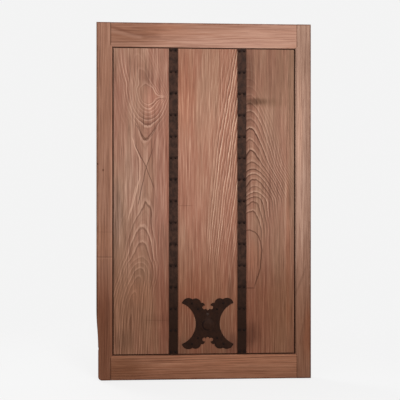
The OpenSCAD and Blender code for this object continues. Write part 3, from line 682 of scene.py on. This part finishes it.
middleBoard = {
    **boardWood, "pale": 1.22, "line": 0.80, "streak": 0.20, "grain": 0.44, "fibre": 0.26,
    "tone": tint(161, 108, 87), "other": tint(165, 124, 101),
    "light": tint(222, 180, 154), "dark": tint(94, 54, 40),
    "blots": [
        (-0.100, 1.420, 0.080, 0.280, (0.99, 0.87, 0.80), 0.7),
        (-0.010, 1.450, 0.060, 0.250, (1.05, 1.07, 1.09), 0.7),
        (0.128, 0.450, 0.020, 0.080, (0.66, 0.68, 0.68), 0.7),
        (-0.020, 0.450, 0.140, 0.150, (0.95, 0.88, 0.83), 0.5),
        # the darker top of the board is a painted shadow under the top rail
        (0.020, 1.580, 0.300, 0.240, (0.83, 0.81, 0.79), 0.8),
        (0.017, 0.260, 0.210, 0.200, (0.80, 0.84, 0.84), 0.9),
        (-0.108, 0.150, 0.060, 0.080, (0.72, 0.76, 0.79), 0.9),
        (0.130, 0.170, 0.050, 0.090, (0.68, 0.70, 0.73), 0.9),
        (0.015, 0.130, 0.100, 0.034, (0.84, 0.88, 0.88), 0.8),
        (0.138, 0.540, 0.034, 0.150, (0.88, 0.90, 0.91), 0.8),
    ],
    "marks": [("dark", 0.0030, 0.40, [(-0.140, 0.860), (-0.045, 0.861)])],
    "figure": {
        "width": 0.0125, "slope": 0.157, "level": 0.95, "from": (-0.16, 0.17), "bold": (0.005, 0.060),
        "foot": (0.50, 0.75), "lines": (0.15, 1.05), "wander": 0.024, "wanders": (6.0, 6.0, 1.3),
        "ripple": 0.9, "ripples": (50.0, 50.0, 6.0), "patches": (14.0, 14.0, 1.8),
        "patchEdge": (0.30, 0.62, 0.55, 1.0), "depth": 60.0, "lateFrom": 0.58,
    },
}
rightBoard = {
    **boardWood, "pale": 0.68, "line": 0.92, "streak": 0.32, "grain": 0.38,
    "tone": tint(151, 104, 85), "other": tint(154, 117, 95),
    "light": tint(204, 163, 139), "dark": tint(72, 40, 28),
    "blots": [
        (0.218, 1.500, 0.036, 0.190, (0.62, 0.59, 0.57), 0.9),
        (0.240, 1.376, 0.100, 0.022, (0.54, 0.52, 0.48), 0.95),
        (0.320, 1.370, 0.120, 0.030, (0.84, 0.82, 0.78), 0.8),
        (0.230, 0.220, 0.055, 0.075, (0.58, 0.54, 0.52), 0.9),
        (0.416, 0.650, 0.014, 0.550, (0.98, 0.78, 0.70), 0.6),
        (0.330, 0.340, 0.140, 0.220, (0.94, 0.86, 0.80), 0.6),
        (0.340, 1.150, 0.050, 0.450, (0.92, 0.93, 0.94), 0.6),
        # the darker top of the board is a painted shadow under the top rail
        (0.330, 1.560, 0.260, 0.260, (0.79, 0.77, 0.74), 0.9),
        (0.436, 1.150, 0.030, 0.600, (0.90, 0.89, 0.88), 0.8),
        (0.212, 1.050, 0.018, 0.450, (0.72, 0.70, 0.69), 0.9),
        (0.224, 1.270, 0.026, 0.110, (0.76, 0.73, 0.72), 0.8),
        (0.238, 0.600, 0.045, 0.110, (1.16, 1.12, 1.08), 0.8),
    ],
    "marks": [
        ("dark", 0.0034, 0.80, [(0.180, 0.4525), (0.262, 0.4520)]),
        ("dark", 0.0046, 0.72,
         [(0.190, 0.736), (0.226, 0.740), (0.251, 0.729), (0.267, 0.710), (0.277, 0.682), (0.285, 0.640),
          (0.285, 0.598), (0.279, 0.551), (0.266, 0.510), (0.246, 0.445)]),
        ("dark", 0.0032, 0.35, [(0.262, 0.700), (0.271, 0.640), (0.270, 0.590), (0.262, 0.540)]),
    ],
    "figure": {  # rings as height and number, middle as height and x
        "rings": [(0.116, 12.0), (0.296, 10.5), (0.380, 9.0), (0.430, 8.0), (0.451, 7.83), (0.485, 7.29),
                  (0.5455, 6.63), (0.621, 6.32), (0.682, 6.60), (0.739, 7.0), (0.837, 9.0), (0.883, 10.0),
                  (0.906, 11.0), (0.929, 12.0), (0.959, 13.0), (0.993, 14.0), (1.020, 15.0), (1.046, 16.0),
                  (1.081, 17.0), (1.137, 18.0), (1.190, 19.0), (1.247, 20.0), (1.330, 22.0), (1.450, 25.0),
                  (1.649, 30.0)],
        "middle": [(0.116, 0.190), (0.350, 0.205), (0.454, 0.218), (0.603, 0.218), (0.739, 0.222),
                   (0.837, 0.235), (0.883, 0.245), (0.929, 0.252), (1.000, 0.245), (1.080, 0.237),
                   (1.247, 0.228), (1.649, 0.215)],
        "width": 0.0105, "crown": 0.080, "depth": 60.0, "start": (5.0, 0.0, 1.0),
        "wander": 0.016, "ripple": 0.4,
        "plain": (8.1, 8.5), "level": 1.0, "taper": 0.30, "fades": (0.215, 0.125, 0.15, 1.0),
        "faint": (1.45, 1.25, 0.25, 1.0), "foot": (0.64, 0.78, 0.18, 1.0),
    },
}
boardLook = {
    "left_board": woodFinish("leftBoardWood", leftBoard, eyeField(leftBoard["figure"])),
    "middle_board": woodFinish("middleBoardWood", middleBoard, leaningField(middleBoard["figure"])),
    "right_board": woodFinish("rightBoardWood", rightBoard, archField(rightBoard["figure"])),
}

leftStile = {
    **plainWood, "stain": frameStainAndShade("z"), "pale": 0.25, "line": 0.40, "streak": 0.36, "grain": 0.40,
    "tone": tint(146, 101, 79), "other": tint(155, 112, 91),
    "light": tint(184, 140, 118), "dark": tint(88, 52, 39),
    "blots": [
        (-0.500, 0.670, 0.060, 0.110, (1.08, 1.04, 0.98), 0.7),
        (-0.500, 0.420, 0.060, 0.160, (0.96, 0.86, 0.82), 0.6),
        (-0.500, 0.250, 0.060, 0.250, (0.84, 0.78, 0.74), 0.6),
        (-0.524, 1.065, 0.006, 0.007, (0.30, 0.24, 0.22), 0.9),
        (-0.497, 1.035, 0.006, 0.008, (0.40, 0.30, 0.26), 0.9),
    ],
    "marks": [
        ("dark", 0.0030, 0.50, [(-0.575, 0.610), (-0.425, 0.609)]),
        ("light", 0.0030, 0.25, [(-0.575, 0.603), (-0.425, 0.602)]),
        ("dark", 0.0034, 0.22, [(-0.575, 0.732), (-0.425, 0.731)]),
    ],
}
rightStile = {
    **plainWood, "stain": frameStainAndShade("z"), "pale": 0.25, "line": 0.40, "streak": 0.38, "grain": 0.44,
    "tone": tint(160, 121, 101), "other": tint(172, 136, 117),
    "light": tint(200, 164, 145), "dark": tint(98, 62, 47),
    "blots": [
        (0.515, 0.220, 0.026, 0.190, (1.04, 0.86, 0.76), 0.8),
        (0.495, 1.620, 0.090, 0.170, (0.86, 0.85, 0.84), 0.9),
        (0.495, 1.100, 0.060, 0.300, (1.06, 1.08, 1.10), 0.8),
        (0.495, 0.300, 0.060, 0.300, (0.86, 0.80, 0.75), 0.7),
        (0.532, 0.900, 0.042, 1.200, (0.82, 0.79, 0.78), 0.9),
        (0.470, 1.000, 0.026, 0.900, (1.08, 1.08, 1.08), 0.9),
        (0.474, 1.220, 0.022, 0.280, (1.14, 1.12, 1.10), 0.9),
    ],
    "marks": [
        ("dark", 0.0080, 0.30, [(0.440, 0.390), (0.475, 0.475), (0.505, 0.570)]),
        ("dark", 0.0060, 0.22, [(0.470, 0.150), (0.495, 0.290), (0.505, 0.420)]),
    ],
}
topRailLook = {
    **plainWood, "stain": frameStainAndShade("x"), "fibre": 0.24,
    "pale": 0.20, "line": 0.35, "streak": 0.30, "grain": 0.36,
    "tone": tint(166, 119, 97), "other": tint(177, 133, 113),
    "light": tint(206, 166, 145), "dark": tint(100, 60, 46),
    "blots": [
        (-0.380, 1.710, 0.230, 0.085, (0.64, 0.55, 0.48), 0.95),
        (0.180, 1.655, 0.320, 0.030, (1.05, 1.07, 1.09), 0.8),
        (-0.200, 1.730, 0.140, 0.030, (1.00, 0.88, 0.80), 0.7),
        (0.050, 1.760, 0.520, 0.055, (0.84, 0.82, 0.81), 0.8),
        (0.000, 1.652, 0.480, 0.026, (1.08, 1.09, 1.10), 0.8),
    ],
    "marks": [
        ("dark", 0.0110, 0.38,
         [(-0.475, 1.746), (-0.445, 1.735), (-0.378, 1.713), (-0.345, 1.703), (-0.280, 1.692),
          (-0.200, 1.690)]),
        ("dark", 0.0075, 0.28, [(-0.375, 1.738), (-0.300, 1.729), (-0.190, 1.725)]),
        ("light", 0.0150, 0.14, [(-0.480, 1.728), (-0.440, 1.714), (-0.380, 1.700), (-0.290, 1.682)]),
    ],
}
bottomRailLook = {
    **plainWood, "stain": frameStainAndShade("x"), "pale": 0.40, "line": 0.60, "streak": 0.38, "grain": 0.40,
    "tone": tint(176, 127, 102), "other": tint(186, 140, 116),
    "light": tint(214, 172, 148), "dark": tint(84, 50, 37),
    "blots": [
        (-0.400, 0.060, 0.160, 0.090, (0.66, 0.60, 0.52), 0.8),
        (0.080, 0.095, 0.420, 0.042, (1.16, 1.15, 1.14), 0.9),
    ],
}
frameWood = {
    "left_stile": woodFinish("leftStileWood", leftStile, straightField("z", 0.011, (0.0, 0.0, 0.0))),
    "right_stile": woodFinish("rightStileWood", rightStile, straightField("z", 0.010, (4.0, 0.0, 1.0))),
    "top_rail": woodFinish("topRailWood", topRailLook, straightField("x", 0.016, (2.0, 0.0, 5.0))),
    "bottom_rail": woodFinish("bottomRailWood", bottomRailLook, straightField("x", 0.013, (7.0, 0.0, 3.0))),
}
backLook = {
    **plainWood, "pale": 0.30, "line": 0.50, "streak": 0.39, "grain": 0.30,
    "tone": tint(122, 84, 64), "other": tint(134, 95, 74),
    "light": tint(150, 110, 88), "dark": tint(76, 46, 34),
}
battenWood = woodFinish("battenWood", backLook, straightField("x", 0.009, (1.0, 0.0, 2.0)))
boltWood = woodFinish("boltWood", backLook, straightField("z", 0.006, (6.0, 0.0, 2.0)))
print("wood finishes made")


# iron: dark scale with rust in clouds and spots, darker low on the door and dark bands at the nail rows,
# hammered by round dents; on a dome, a painted shadow lies along its lower left foot
ironScale = {
    "cloud": ((45.0, 45.0, 30.0), 5.0, 0.66), "cloudEdge": (0.34, 0.66), "soot": (0.70, 0.25),
    "spot": ((190.0, 190.0, 190.0), 3.0, 0.6), "spotEdge": (0.54, 0.72), "spotShare": 0.5,
    "rough": (0.3, 0.7), "rougher": 0.22, "dents": ((85.0, 85.0, 60.0), 1.5, 0.4),
    "pits": ((900.0, 900.0, 900.0), 2.0, 0.5), "pitShare": 0.22, "relief": 0.8,
}
nailRows = {"first": 0.144, "pitch": 0.10607, "edge": (0.085, 0.030)}
domeShadow = {"lean": (0.9, 0.4), "foot": (0.0060, 0.0010, 0.0, 0.9), "aside": (0.006, -0.012)}


def ironFinish(name, look, dome=None):
    kit = newFinish(name, look["specular"])
    cloud = kit.noise(*ironScale["cloud"])
    spot = kit.step(kit.noise(*ironScale["spot"]), *ironScale["spotEdge"])
    colour = kit.mix(kit.step(cloud, *ironScale["cloudEdge"]), look["scale"], look["rust"])
    colour = kit.mix(kit.times(spot, ironScale["spotShare"]), colour, look["spot"])
    # darker towards the foot of the door
    colour = kit.mix(kit.step(kit.z, *ironScale["soot"], 0.0, look["sooty"]), colour, look["soot"])
    # painted shadow: a dark crescent along the dome's lower left foot
    if dome:
        (leanX, leanZ), (middleX, middleZ) = domeShadow["lean"], dome["middle"]
        aside = kit.calc("MULTIPLY_ADD", kit.x, leanX, kit.times(kit.z, leanZ))
        aside = kit.calc("SUBTRACT", aside, leanX * middleX + leanZ * middleZ)
        foot = kit.calc("SUBTRACT", pointAway(kit, kit.x, kit.z, dome["middle"]), dome["radius"])
        foot = kit.step(kit.calc("ABSOLUTE", foot), *domeShadow["foot"])
        colour = kit.mix(kit.times(foot, kit.step(aside, *domeShadow["aside"])), colour, dome["dirt"])
    row = kit.calc("DIVIDE", kit.calc("SUBTRACT", kit.z, nailRows["first"]), nailRows["pitch"])
    row = kit.calc("ABSOLUTE", kit.calc("SUBTRACT", row, kit.calc("ROUND", row)))
    colour = kit.mix(kit.step(row, *nailRows["edge"], 0.0, look["band"]), colour, look["spot"])
    kit.feed(kit.shader.inputs["Base Color"], colour)
    rough = kit.step(cloud, *ironScale["rough"], look["rough"], look["rough"] + ironScale["rougher"])
    kit.feed(kit.shader.inputs["Roughness"], rough)
    dents, pits = kit.noise(*ironScale["dents"]), kit.noise(*ironScale["pits"])
    hammered = kit.calc("MULTIPLY_ADD", pits, ironScale["pitShare"], dents)
    kit.bump(hammered, look["dent"], ironScale["relief"])
    return kit.finish


ironLook = {
    "strap": {
        "scale": tint(45, 30, 24), "rust": tint(70, 48, 39),
        "spot": tint(32, 19, 14), "soot": tint(36, 21, 14),
        "sooty": 0.9, "specular": 0.05, "rough": 0.48, "dent": 0.0016, "band": 0.55},
    "plate": {
        "scale": tint(36, 21, 15), "rust": tint(52, 32, 23),
        "spot": tint(25, 14, 10), "soot": tint(36, 21, 15),
        "sooty": 0.4, "specular": 0.05, "rough": 0.50, "dent": 0.0014, "band": 0.0},
    "nail": {
        "scale": tint(26, 16, 13), "rust": tint(38, 24, 19),
        "spot": tint(18, 11, 9), "soot": tint(22, 13, 10),
        "sooty": 0.7, "specular": 0.06, "rough": 0.50, "dent": 0.0008, "band": 0.0},
    "worn": {
        "scale": tint(52, 38, 32), "rust": tint(64, 48, 41),
        "spot": tint(40, 27, 21), "soot": tint(50, 36, 30),
        "sooty": 0.3, "specular": 0.12, "rough": 0.42, "dent": 0.0006, "band": 0.0},
}
iron = {name: ironFinish(name + "Iron", look) for name, look in ironLook.items()}
coverLook = {**ironLook["plate"], "scale": tint(42, 26, 20), "rust": tint(58, 37, 28)}
# the dome's dark tone is a painted shadow along its lower left foot
coverDome = {"above": 0.033, "radius": 0.0255, "dirt": tint(24, 13, 11)}  # above the cover's foot
coverLow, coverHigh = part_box("keyhole_cover")
coverDome["middle"] = (coverLow.x + coverHigh.x) / 2, coverLow.z + coverDome["above"]
iron["cover"] = ironFinish("coverIron", coverLook, coverDome)
print("iron finishes made")


# a merged copy of a CAD piece whose long sharp edges are rounded over
soft = {"merge": 2e-5, "flat": radians(0.4), "crease": radians(28), "segments": 2}


def softCopy(node, finish, rounding, shortest):
    mesh = nodes[node].data.copy()
    mesh.name = plainName(node)
    if "custom_normal" in mesh.attributes:
        mesh.attributes.remove(mesh.attributes["custom_normal"])
    work = bmesh.new()
    work.from_mesh(mesh)
    bmesh.ops.remove_doubles(work, verts=work.verts, dist=soft["merge"])
    bmesh.ops.dissolve_limit(work, angle_limit=soft["flat"], verts=work.verts, edges=work.edges)
    weight = work.edges.layers.float.new("bevel_weight_edge")
    for edge in work.edges:
        crease = len(edge.link_faces) == 2 and edge.calc_face_angle(0.0) > soft["crease"]
        edge[weight] = float(crease and edge.calc_length() > shortest)
        edge.smooth = not crease or bool(edge[weight])
    for face in work.faces:
        face.smooth = True
    work.to_mesh(mesh)
    work.free()
    piece = bpy.data.objects.new(plainName(node), mesh)
    scene.collection.objects.link(piece)
    bevel = piece.modifiers.new("rounding", "BEVEL")
    bevel.width, bevel.segments, bevel.limit_method = rounding, soft["segments"], "WEIGHT"
    bevel.use_clamp_overlap, bevel.harden_normals = False, True
    standIn(piece, node, finish)


# nodes and their finish, rounding and shortest edge that is rounded
softPieces = [([node], finish, 0.0012, 0.006) for node, finish in {**frameWood, **boardLook}.items()] + [
    ([f"batten_{number}" for number in range(1, 6)], battenWood, 0.0012, 0.006),
    (["tenon_wedges"], battenWood, 0.0003, 0.002),
    (["drop_bolt"], boltWood, 0.0010, 0.006),
    (["lock_plate"], iron["plate"], 0.0006, 0.0004),
    (["keyhole_cover"], iron["cover"], 0.0004, 0.0004),
    (["upper_keeper", "lower_keeper"], iron["strap"], 0.0005, 0.006),
    (["left_roller", "right_roller"], iron["strap"], 0.0004, 0.0004),
    (["left_axle", "right_axle"], iron["worn"], 0.0003, 0.0002),
]
for group, finish, rounding, shortest in softPieces:
    for node in group:
        softCopy(node, finish, rounding, shortest)
print("wood and sheet pieces rounded")


# strap: a flat profile with rounded front edges, carried up the board; hammer marks sink its face
# as a sum of round dips and its edges wander as a sum of slow waves
strap = {
    "rows": 260, "across": 16, "corner": 0.0016, "bend": (60, 30, 0), "sharp": 50,
    "dent": 0.00055, "deepest": 1.6, "marks": 260, "mark": 0.011, "markSizes": (0.7, 1.4),
    "wander": 0.0006, "waves": 5, "pace": (8, 70), "phase": 6.3,
}


def hammeredStrap(node, seed):
    rng = np.random.default_rng(seed)
    low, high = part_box(node)
    half, mid = (high.x - low.x) / 2, (high.x + low.x) / 2
    corner, rows, marks = strap["corner"], strap["rows"], strap["marks"]
    face = np.linspace(-1, 1, strap["across"]) * (half - corner)
    bend = np.radians(strap["bend"])
    right = np.stack([half - corner * (1 - np.cos(bend)), low.y + corner * (1 - np.sin(bend))], axis=1)
    left = np.stack([-right[::-1, 0], right[::-1, 1]], axis=1)
    front = np.stack([face, np.full_like(face, low.y)], axis=1)
    back = np.array([[half, high.y], [-half, high.y]])
    profile = np.concatenate([front, right, back, left])
    count = len(profile)
    z = np.linspace(low.z, high.z, rows)[:, None]
    x = np.broadcast_to(profile[:, 0], (rows, count))
    y = np.broadcast_to(profile[:, 1], x.shape)
    pace = rng.uniform(*strap["pace"], (2, strap["waves"]))
    phase = rng.uniform(0, strap["phase"], (2, strap["waves"]))
    sway = np.sin(z[:, :, None] * pace + phase).sum(-1) / strap["waves"]
    edge = np.where(x > 0, sway[:, :1], sway[:, 1:]) * strap["wander"] - strap["wander"]
    atX = rng.uniform(-half, half, marks)
    atZ = rng.uniform(low.z, high.z, marks)
    size = strap["mark"] * rng.uniform(*strap["markSizes"], marks)
    away = ((x[..., None] - atX) ** 2 + (z[..., None] - atZ) ** 2) / size ** 2
    dips = np.clip(np.exp(-away).sum(-1), 0, strap["deepest"]) * strap["dent"]
    forward = np.clip((high.y - y) / (high.y - low.y), 0, 1)
    points = np.stack([mid + x + edge * x / half, y + dips * forward, np.broadcast_to(z, x.shape)], axis=-1)
    ends = [list(range(count))[::-1], list(range((rows - 1) * count, rows * count))]
    piece = putMesh(plainName(node), points, gridFaces(rows, count).tolist() + ends, strap["sharp"])
    standIn(piece, node, iron["strap"])


for node, seed in (("left_strap", 3), ("right_strap", 8)):
    hammeredStrap(node, seed)
print("straps hammered")


# nail heads: a dome whose outline is a circle with a few slow waves and whose crown leans a little,
# on a short skirt that sits in the iron below it
head = {
    "rings": 7, "spokes": 18, "skirt": 0.0004, "power": 0.75, "sharp": 60, "lean": 0.10, "wave": 0.07,
    "waves": ((2, 0.4), (3, 0.4), (5, 0.3)), "waveSizes": (0.3, 1), "phase": 6.3,
    "sizes": (0.94, 1.04), "heights": (0.88, 1.0), "pole": 1.01,
    "tipDepth": 2e-4, "tipDigits": 3, "tipSize": 0.004,
}


# the tips of a node's heads: its points that stand furthest out, one for each head
def headTips(node, facing):
    mesh = nodes[node].data
    spots = np.empty(len(mesh.vertices) * 3)
    mesh.vertices.foreach_get("co", spots)
    spots = spots.reshape(-1, 3)
    crown = (spots[:, 1] * facing).max()
    outermost = spots[spots[:, 1] * facing > crown - head["tipDepth"]]
    tips = np.unique(np.round(outermost, head["tipDigits"]), axis=0)
    cells = np.round(tips[:, [0, 2]] / head["tipSize"])
    return tips[np.unique(cells, axis=0, return_index=True)[1]], crown


def forgedHeads(node, finish, radius, height, seed, facing):
    rng = np.random.default_rng(seed)
    tips, crown = headTips(node, facing)
    number, spokes, rings = len(tips), head["spokes"], head["rings"] + 1  # the skirt is one more ring
    turn = np.linspace(0, 2 * np.pi, spokes, endpoint=False)
    reach = np.linspace(1, 0, head["rings"], endpoint=False)
    phase = rng.uniform(0, head["phase"], (number, len(head["waves"]), 1, 1))
    wave = head["wave"] * rng.uniform(*head["waveSizes"], (number, 1, 1))
    waves = enumerate(head["waves"])
    ripple = sum(np.cos(count * turn + phase[:, at]) * share for at, (count, share) in waves)
    size = rng.uniform(*head["sizes"], (number, 1, 1))
    lean = rng.uniform(-head["lean"], head["lean"], (number, 2, 1, 1)) * radius
    rise = (1 - reach ** 2) ** head["power"] * height * rng.uniform(*head["heights"], (number, 1))
    outline = radius * size * reach[None, :, None] * (1 + wave * ripple)
    dx = outline * np.cos(turn) + lean[:, 0] * (1 - reach[None, :, None])
    dz = outline * np.sin(turn) + lean[:, 1] * (1 - reach[None, :, None])
    dy = np.broadcast_to(rise[:, :, None], dx.shape)
    skirt = np.stack([dx[:, :1], np.full_like(dx[:, :1], -head["skirt"]), dz[:, :1]], axis=-1)
    dome = np.concatenate([skirt, np.stack([dx, dy, dz], axis=-1)], axis=1).reshape(number, -1, 3)
    poles = np.zeros((number, 2, 3))
    poles[:, 0, 1] = -head["skirt"]
    poles[:, 1] = np.stack([lean[:, 0, 0, 0], rise[:, -1] * head["pole"], lean[:, 1, 0, 0]], axis=-1)
    points = np.concatenate([dome, poles], axis=1)
    points[..., 1] *= facing
    points += (tips * [1, 0, 1] + [0, (crown - height) * facing, 0])[:, None]
    quads = gridFaces(rings, spokes)
    here = np.arange(spokes)
    after = (here + 1) % spokes
    last, lowPole = (rings - 1) * spokes, rings * spokes
    top = np.stack([here + last, after + last, np.full(spokes, lowPole + 1)], axis=1)
    low = np.stack([after, here, np.full(spokes, lowPole)], axis=1)
    caps = np.concatenate([top, low])
    if facing > 0:
        quads, caps = quads[:, ::-1], caps[:, ::-1]
    first = (np.arange(number) * points.shape[1])[:, None, None]
    faces = (quads + first).reshape(-1, 4).tolist() + (caps + first).reshape(-1, 3).tolist()
    standIn(putMesh(plainName(node), points, faces, head["sharp"]), node, finish)


# iron, radius, height, seed and the way they face, -1 to the front
headSets = {
    "left_strap_nails": ("nail", 0.00525, 0.0040, 11, -1),
    "right_strap_nails": ("nail", 0.00525, 0.0040, 12, -1),
    "lock_plate_nails": ("nail", 0.00525, 0.0040, 13, -1),
    "keeper_nails": ("nail", 0.0045, 0.00225, 14, 1),
    "cover_rivet": ("worn", 0.0065, 0.0035, 15, -1),
}
for node, (metal, *sizes) in headSets.items():
    forgedHeads(node, iron[metal], *sizes)
print("nails and rivet forged")


print("door dressed")
